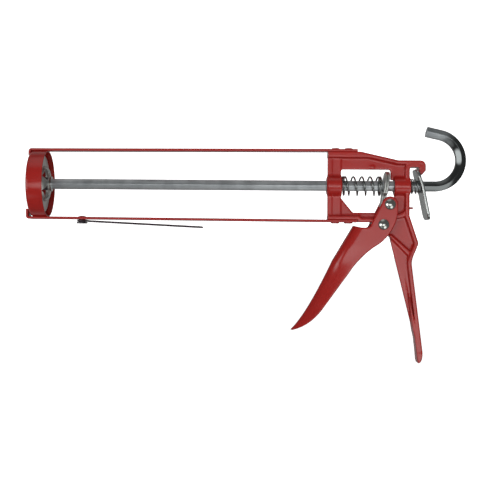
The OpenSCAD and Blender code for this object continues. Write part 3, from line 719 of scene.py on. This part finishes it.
def hexagon_section(tree, given):
    flat = add(tree, "GeometryNodeCurvePrimitiveCircle", {
        "Resolution": 6, "Radius": given.outputs["Corner radius"]})
    return add(tree, "GeometryNodeFilletCurve", {
        "Curve": flat.outputs[0], "Radius": given.outputs["Edge radius"], "Count": 3}, mode="POLY").outputs[0]


def strap_section(tree, given):
    flat = add(tree, "GeometryNodeCurvePrimitiveQuadrilateral", {
        "Width": given.outputs["Width"], "Height": given.outputs["Thickness"]})
    return add(tree, "GeometryNodeFilletCurve", {
        "Curve": flat.outputs[0], "Radius": given.outputs["Edge radius"], "Count": 3}, mode="POLY").outputs[0]


def wire_section(tree, given):
    return add(tree, "GeometryNodeCurvePrimitiveCircle", {
        "Resolution": 20, "Radius": given.outputs["Radius"]}).outputs[0]


bar_tree = swept_tree("drawn_bar", ["Corner radius", "Edge radius"], hexagon_section)
strap_tree = swept_tree("flat_strap", ["Width", "Thickness", "Edge radius"], strap_section)
wire_tree = swept_tree("round_wire", ["Radius"], wire_section)


def coil_tree():
    """A compression spring along X: close turns at both ends and an even pitch between them."""
    tree, given = geometry_tree("compression_spring", [
        "Coil radius", "Wire radius", "Active turns", "Closed turns", "Start", "End"])
    size = given.outputs
    steps = 36

    def maths(operation, a, b=0.0, c=0.0):
        return add(tree, "ShaderNodeMath", {0: a, 1: b, 2: c}, operation=operation).outputs[0]

    turns = maths("ADD", size["Active turns"], maths("MULTIPLY", size["Closed turns"], 2.0))
    count = maths("ADD", maths("MULTIPLY", turns, float(steps)), 1.0)
    line = add(tree, "GeometryNodeMeshLine", {"Count": count})
    turn = maths("DIVIDE", add(tree, "GeometryNodeInputIndex").outputs[0], float(steps))
    pitch = maths("MULTIPLY", size["Wire radius"], 2.06)
    from_end = maths("SUBTRACT", turns, turn)
    closed = maths("MULTIPLY", size["Closed turns"], pitch)
    open_length = maths("SUBTRACT", maths("SUBTRACT", size["End"], size["Start"]),
                        maths("MULTIPLY", closed, 2.0))
    early = maths("MULTIPLY", maths("MINIMUM", turn, size["Closed turns"]), pitch)
    late = maths("SUBTRACT", closed,
                 maths("MULTIPLY", maths("MINIMUM", from_end, size["Closed turns"]), pitch))
    share = maths("DIVIDE", maths("SUBTRACT", turn, size["Closed turns"]), size["Active turns"])
    share = maths("MINIMUM", maths("MAXIMUM", share, 0.0), 1.0)
    middle = maths("MULTIPLY", share, open_length)
    along = maths("ADD", maths("ADD", size["Start"], early), maths("ADD", middle, late))
    angle = maths("MULTIPLY", turn, 2 * pi)
    place = add(tree, "ShaderNodeCombineXYZ", {
        "X": along, "Y": maths("MULTIPLY", maths("COSINE", angle), size["Coil radius"]),
        "Z": maths("MULTIPLY", maths("SINE", angle), size["Coil radius"])})
    wound = add(tree, "GeometryNodeSetPosition", {"Geometry": line.outputs[0], "Position": place.outputs[0]})
    path = add(tree, "GeometryNodeMeshToCurve", {"Mesh": wound.outputs[0]})
    section = add(tree, "GeometryNodeCurvePrimitiveCircle", {"Resolution": 14, "Radius": size["Wire radius"]})
    wire = add(tree, "GeometryNodeCurveToMesh", {
        "Curve": path.outputs[0], "Profile Curve": section.outputs[0], "Fill Caps": True})
    return close_tree(tree, wire.outputs[0], given)


spring_tree = coil_tree()


def bake(thing, tree, values, material, name):
    """Runs a geometry tree on an object, and puts the result in its place as a plain mesh."""
    modifier = thing.modifiers.new("grow", "NODES")
    modifier.node_group = tree
    for item in tree.interface.items_tree:
        if item.item_type == "SOCKET" and item.in_out == "INPUT" and item.name in values:
            modifier[item.identifier] = float(values[item.name])
        elif item.item_type == "SOCKET" and item.in_out == "INPUT" and item.name == "Finish":
            modifier[item.identifier] = material
    bpy.context.view_layer.update()
    mesh = bpy.data.meshes.new_from_object(thing.evaluated_get(bpy.context.evaluated_depsgraph_get()))
    thing.modifiers.remove(modifier)
    bpy.data.objects.remove(thing)
    mesh.name = name
    result = bpy.data.objects.new(name, mesh)
    bpy.context.scene.collection.objects.link(result)
    return result


def grown(name, tree, values, material, path_mm=((0, 0, 0),), taper=None, smooth_deg=35):
    """A piece that a geometry tree makes from a line of points."""
    mesh = bpy.data.meshes.new(name + "_path")
    mesh.from_pydata([tuple(c * MM for c in p) for p in path_mm],
                     [(i, i + 1) for i in range(len(path_mm) - 1)], [])
    mesh.attributes.new("taper", "FLOAT", "POINT").data.foreach_set("value", taper or [1.0] * len(path_mm))
    seed = bpy.data.objects.new(name + "_path", mesh)
    bpy.context.scene.collection.objects.link(seed)
    thing = bake(seed, tree, values, material, name)
    clean(thing.data, smooth_deg)
    return thing


# Push rod and hanging hook: one drawn bar
shoulder_x = 14.6
rod_line = [(shoulder_x, 0, 0)] + [(shoulder_x + (bend_x - shoulder_x) * i / 40, 0, 0) for i in range(1, 40)]
rod_line += [(x, 0, z) for x, z in arc((bend_x, HOOK_R), HOOK_R, -90, 77, 72)]
end_dir = (cos(radians(167)), sin(radians(167)))
rod_line += [(rod_line[-1][0] + end_dir[0] * 11.7, 0, rod_line[-1][2] + end_dir[1] * 11.7)]
rod = grown("push_rod_skin", bar_tree, {"Corner radius": ROD_AF / sqrt(3) * MM, "Edge radius": 0.45 * MM},
            drawn_rod, rod_line, smooth_deg=25)
belong(rod, "rod_and_plunger", "bright_rod", "push_rod", "rod_hook")

# Spigot in front of the shoulder, which carries the plunger
spigot_x = corners("push_rod")[0].x
spigot_end = shoulder_x - spigot_x + 0.5
spigot = lathe("rod_spigot", [(0, 0), (2.6, 0), (3, 0.4), (3, spigot_end), (0, spigot_end)],
               (spigot_x, 0, 0), (1, 0, 0), drawn_rod, 48)
belong(spigot, "rod_and_plunger", "bright_rod")

# Straps, folded over the front of the ring
for name, side, leg_x, leg in (("top_strap", 1, -RING_PLATE, 3.5),
                               ("bottom_strap", -1, -RING_PLATE - 1.8, 6.0)):
    centre = (leg_x - STRAP_T + 2.5, strap_ring_z + STRAP_T - 2.5)
    line = [(leg_x - 1, strap_ring_z - leg)] + arc(centre, 1.5, 180, 90, 8)
    line += [(ring_rear_x, strap_ring_z + 1), (cast_x, seat_z + 1), (strap_end_x, seat_z + 1)]
    strap = grown(name + "_skin", strap_tree,
                  {"Width": STRAP_W * MM, "Thickness": STRAP_T * MM, "Edge radius": 0.7 * MM},
                  coat_on_steel, [(x, 0, side * z) for x, z in line])
    belong(strap, "gun_frame", "red_sheet", name)

# Springs: the joint that closes them, their two ends, and what is left of their length when closed
for name, joint, start, end, coil_r, wire, turns, closed, keep in (
        ("drive_spring", "drive_plate_slide", 247.0, 277.48, 7.32, 1.4, 4, 1.25, 0.6),
        ("brake_spring", "release_hinge", 301.6, 307.4, 5.52, 1.1, 1.6, 0.75, 0.66)):
    spring = grown(name + "_wire", spring_tree, {
        "Coil radius": coil_r * MM, "Wire radius": wire / 2 * MM, "Active turns": turns,
        "Closed turns": closed, "Start": start * MM, "End": end * MM}, spring_wire)
    if name == "brake_spring":
        # Its free end leans as the lever does
        for v in spring.data.vertices:
            share = min(max((v.co.x / MM - start) / (end - start), 0), 1)
            v.co.x -= share * v.co.z * tan(lean_top if v.co.z > 0 else lean_low)
    belong(spring, "gun_frame", "spring_steel", name)
    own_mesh(spring)

# Seal punch: an eye round its rivet, a drooping shaft and a ground point
punch_x, punch_z = joint_at["punch_swing"].x, -29.32
droop = radians(2.7)
eye = [(punch_x + x, y, punch_z) for x, y in arc((0, 0), 3.85, 20, 340, 32)]
shaft = [(punch_x + s * cos(droop), 0, punch_z - s * sin(droop)) for s in (5.6, 8, 40, 80, 95.5, 97)]
punch_line = [(punch_x + 5.2, 0.9, punch_z)] + eye + shaft
taper = [1.0] * (len(punch_line) - 1) + [0.7]
punch = grown("seal_punch_wire", wire_tree, {"Radius": 0.8 * MM}, brown_wire, punch_line[1:], taper[1:])
belong(punch, "punch", "dark_steel", "seal_punch")

low, high = corners("punch_rivet")
shank = high.z - low.z - 1
profile = [(0, 0), (4.05, 0), (4.35, 0.3), (4.35, 0.9), (4.05, 1.2), (2.7, 1.2), (2.7, shank), (0, shank)]
rivet = lathe("punch_rivet_shank", profile, (punch_x, 0, low.z), (0, 0, 1), black_steel, 48)
belong(rivet, "gun_frame", "dark_steel", "punch_rivet")


# ---------- rivets: one head set out on every station ----------

def rivet_tree():
    """Copies of the head that comes in, set along a row."""
    tree, given = geometry_tree("rivet_row", ["First", "Spacing", "Count", "Height"])
    start = add(tree, "ShaderNodeCombineXYZ", {"X": given.outputs["First"], "Z": given.outputs["Height"]})
    apart = add(tree, "ShaderNodeCombineXYZ", {"X": given.outputs["Spacing"]})
    row = add(tree, "GeometryNodeMeshLine", {
        "Count": given.outputs["Count"], "Start Location": start.outputs[0], "Offset": apart.outputs[0]})
    heads = add(tree, "GeometryNodeInstanceOnPoints", {
        "Points": row.outputs[0], "Instance": given.outputs["Geometry"]})
    return close_tree(tree, heads.outputs[0], given)


rivet_row = rivet_tree()


for name, side in (("top_strap_rivets", 1), ("bottom_strap_rivets", -1)):
    profile = [(0, -3), (2, -3)] + [(2, 0)] + [(r, a) for r, a in reversed(pan(6.7, 1.0))]
    head = lathe(name + "_head", profile, (0, 0, 0), (0, 0, side), coat_on_steel, 48)
    row = bake(head, rivet_row, {
        "First": (cast_x + 6.3) * MM, "Spacing": 10.5 * MM, "Count": 2,
        "Height": side * (seat_z + STRAP_T) * MM}, coat_on_steel, name + "_row")
    belong(row, "gun_frame", "red_sheet", name)

head = lathe("punch_rivet_head", [(0, 0)] + [(r, a) for r, a in reversed(domed(6.5, 1.0, 0.2))],
             (punch_x, 0, high.z - 1), (0, 0, 1), coat_on_steel, 48)
belong(head, "gun_frame", "red_sheet")

# ---------- plunger ----------

SPIGOT_R = 3.0
PLUNGER_T, DOME_D, DOME_TOP_D, DOME_H, DOME_SLOTS = 1.0, 28.0, 13.0, 4.8, 4
plunger_low, plunger_high = corners("plunger_disc")
plunger_r, hub_x = plunger_high.y, plunger_high.x
lip = hub_x - plunger_low.x
foot_r, top_r = DOME_D / 2, DOME_TOP_D / 2
swell = (foot_r - top_r) * 0.6
plunger_section = (
    [(SPIGOT_R, 0)] + curve((top_r, 0), (top_r + swell, 0), (foot_r, DOME_H * 0.5), (foot_r, DOME_H), 12)
    + [(plunger_r - 1, DOME_H), (plunger_r - 0.3, DOME_H + 0.3), (plunger_r, DOME_H + 1), (plunger_r, lip)]
    + [(plunger_r - PLUNGER_T, lip), (plunger_r - PLUNGER_T, DOME_H + PLUNGER_T + 0.6)]
    + [(plunger_r - PLUNGER_T - 0.6, DOME_H + PLUNGER_T)]
    + curve((foot_r - PLUNGER_T, DOME_H + PLUNGER_T), (foot_r - PLUNGER_T, DOME_H * 0.5 + PLUNGER_T),
            (top_r + swell - PLUNGER_T, PLUNGER_T), (top_r - PLUNGER_T, PLUNGER_T), 12)
    + [(SPIGOT_R, PLUNGER_T)]
)
slot_face = [(-5.25, top_r + 0.6), (5.25, top_r + 0.6), (5.25, foot_r - 1), (-5.25, foot_r - 1)]


def plunger_field(x, y, z):
    solid = distance(plunger_section, np.hypot(y, z), hub_x - x)
    for i in range(DOME_SLOTS):
        turn = (i + 0.5) * 2 * pi / DOME_SLOTS
        slot = rounded(slot_face, 1.2, y * cos(turn) + z * sin(turn), z * cos(turn) - y * sin(turn))
        solid = meet(solid, -slot, 0.25)
    return solid


axes = samples(plunger_low, plunger_high, 0.36)
plunger = skin("plunger_disc_skin", plunger_field(*axes), axes, dull_zinc)
belong(plunger, "rod_and_plunger", "zinc_plate", "plunger_disc")

for node, material in (("plunger_washer", nickel), ("plunger_nut", black_steel)):
    frame["nodes"][node].material_slots[0].material = material


# ---------- floor, lights and background ----------

def backdrop(name, points, faces, glow):
    """A stage surface that only the camera sees, so that it throws no light back on the gun."""
    mesh = bpy.data.meshes.new(name)
    mesh.from_pydata(points, [], faces)
    thing = bpy.data.objects.new(name, mesh)
    bpy.context.scene.collection.objects.link(thing)
    thing.visible_diffuse = thing.visible_glossy = thing.visible_shadow = False
    paper, tree, shader, place = finish_of("white_studio_paper_" + name)
    fibre = add(tree, "ShaderNodeTexNoise", {"Vector": place, "Scale": 400.0})
    tone = add(tree, "ShaderNodeMapRange", {"Value": fibre.outputs["Fac"], "To Min": 0.86, "To Max": 0.9})
    tree.links.new(tone.outputs["Result"], shader.inputs["Base Color"])
    shader.inputs["Roughness"].default_value = 0.9
    shader.inputs["Specular IOR Level"].default_value = 0.0
    shader.inputs["Emission Color"].default_value = (1, 1, 1, 1)
    shader.inputs["Emission Strength"].default_value = glow
    mesh.materials.append(paper)
    return thing


floor_z = cad_box[0][2] - 0.001
REACH = 8.0
backdrop("floor", [(sx * REACH, sy * REACH, floor_z) for sx, sy in ((-1, -1), (1, -1), (1, 1), (-1, 1))],
                 [(0, 1, 2, 3)], 0.95)
wall_points = [(REACH * cos(2 * pi * i / 24), REACH * sin(2 * pi * i / 24), z)
               for z in (floor_z, 6.0) for i in range(24)]
backdrop("wall", wall_points + [(0, 0, 6.0)],
                [(i, i + 24, (i + 1) % 24 + 24, (i + 1) % 24) for i in range(24)]
                + [(i + 24, 48, (i + 1) % 24 + 24) for i in range(24)], 1.0)

# The room that the gun mirrors: each panel's direction, its flatness, its inner and outer angle in degrees,
# and how much light it adds to an even dark grey
ROOM_LEVEL = 0.12
PANELS = (
    ((0, 1, 0), 1.0, 50, 75, 0.18),             # paper behind, in shade
    ((0.04, -1, -0.13), 2.2, 8, 30, 2.2),       # long front panel, a little below the gun's level
    ((-0.75, -0.66, -0.07), 1.0, 11, 21, 3.0),  # tall panel on the left
    ((0.4, -0.6, -0.7), 1.0, 12, 24, 1.5),      # low panel on the right
    ((-0.45, -0.6, -0.66), 1.0, 6, 14, 0.5),    # small low panel on the left
    ((-0.15, -0.2, 1), 1.0, 8, 30, 0.45),       # overhead bank
)
world = bpy.data.worlds.new("studio")
bpy.context.scene.world = world
world.use_nodes = True
tree = world.node_tree
sky = tree.nodes["Background"]
direction = add(tree, "ShaderNodeTexCoord").outputs["Generated"]
level = ROOM_LEVEL
for way, flat, inner, outer, light in PANELS:
    aim = Vector((way[0], way[1], way[2] * flat)).normalized()
    pressed = add(tree, "ShaderNodeVectorMath", {0: direction, 1: (1, 1, flat)}, operation="MULTIPLY")
    unit = add(tree, "ShaderNodeVectorMath", {0: pressed.outputs["Vector"]}, operation="NORMALIZE")
    towards = add(tree, "ShaderNodeVectorMath", {0: unit.outputs["Vector"], 1: aim}, operation="DOT_PRODUCT")
    share = add(tree, "ShaderNodeMapRange", {
        "Value": towards.outputs["Value"], "From Min": cos(radians(outer)), "From Max": cos(radians(inner)),
        "To Min": 0.0, "To Max": light}, interpolation_type="SMOOTHSTEP")
    level = add(tree, "ShaderNodeMath", {0: level, 1: share.outputs["Result"]}, operation="ADD").outputs[0]
level = add(tree, "ShaderNodeMath", {0: level, 1: 0.015}, operation="MAXIMUM").outputs[0]
tree.links.new(level, sky.inputs["Strength"])
sky.inputs["Color"].default_value = (1, 1, 1, 1)


def softbox(name, place, aim, width, height, radiance):
    light = bpy.data.lights.new(name, "AREA")
    light.shape = "RECTANGLE"
    light.size, light.size_y = width, height
    light.energy = radiance * pi * width * height
    lamp = bpy.data.objects.new(name, light)
    lamp.location = place
    lamp.rotation_euler = (Vector(aim) - Vector(place)).to_track_quat("-Z", "Y").to_euler()
    lamp.visible_glossy = False
    bpy.context.scene.collection.objects.link(lamp)


softbox("front_fill", (0.17, -1.6, 0.3), (0.17, 0, 0.1), 1.2, 0.8, 2.9)
